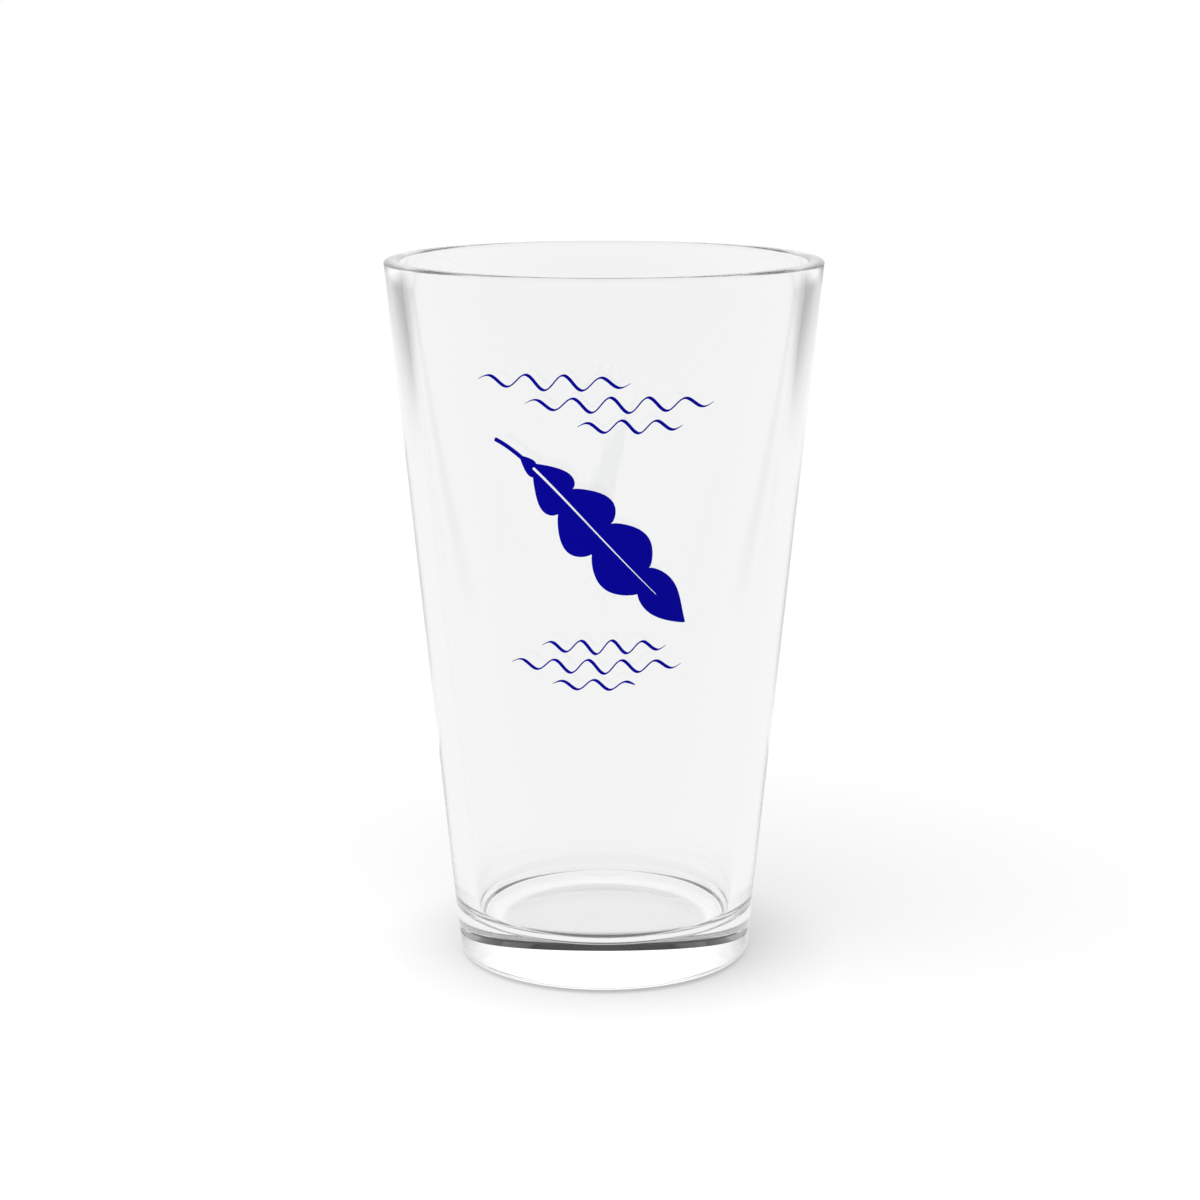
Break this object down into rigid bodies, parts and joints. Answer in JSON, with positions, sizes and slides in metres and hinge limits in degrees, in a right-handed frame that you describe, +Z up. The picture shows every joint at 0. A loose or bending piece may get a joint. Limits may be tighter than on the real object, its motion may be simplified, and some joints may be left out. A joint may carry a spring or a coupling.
{
  "type": "pint glass",
  "caption": "Straight-sided tapered pint glass in clear pressed glass with a thick base, a rounded rim and a navy leaf-and-ripple print on the front.",
  "frame": {"origin": "centre of the foot, on the plane that the glass stands on", "axes": "+Z up along the axis of the glass towards the rim, -Y towards the printed front"},
  "size_m": [0.089, 0.089, 0.146],
  "materials": {
    "clear_glass": "clear, fire-polished",
    "navy_ink": "satin screen-print ink"
  },
  "bodies": {
    "root": {"glass_body": "clear_glass", "print_leaf": "navy_ink", "print_ripple_upper_1": "navy_ink", "print_ripple_upper_2": "navy_ink", "print_ripple_upper_3": "navy_ink", "print_ripple_lower_1": "navy_ink", "print_ripple_lower_2": "navy_ink", "print_ripple_lower_3": "navy_ink"}
  },
  "joints": []
}
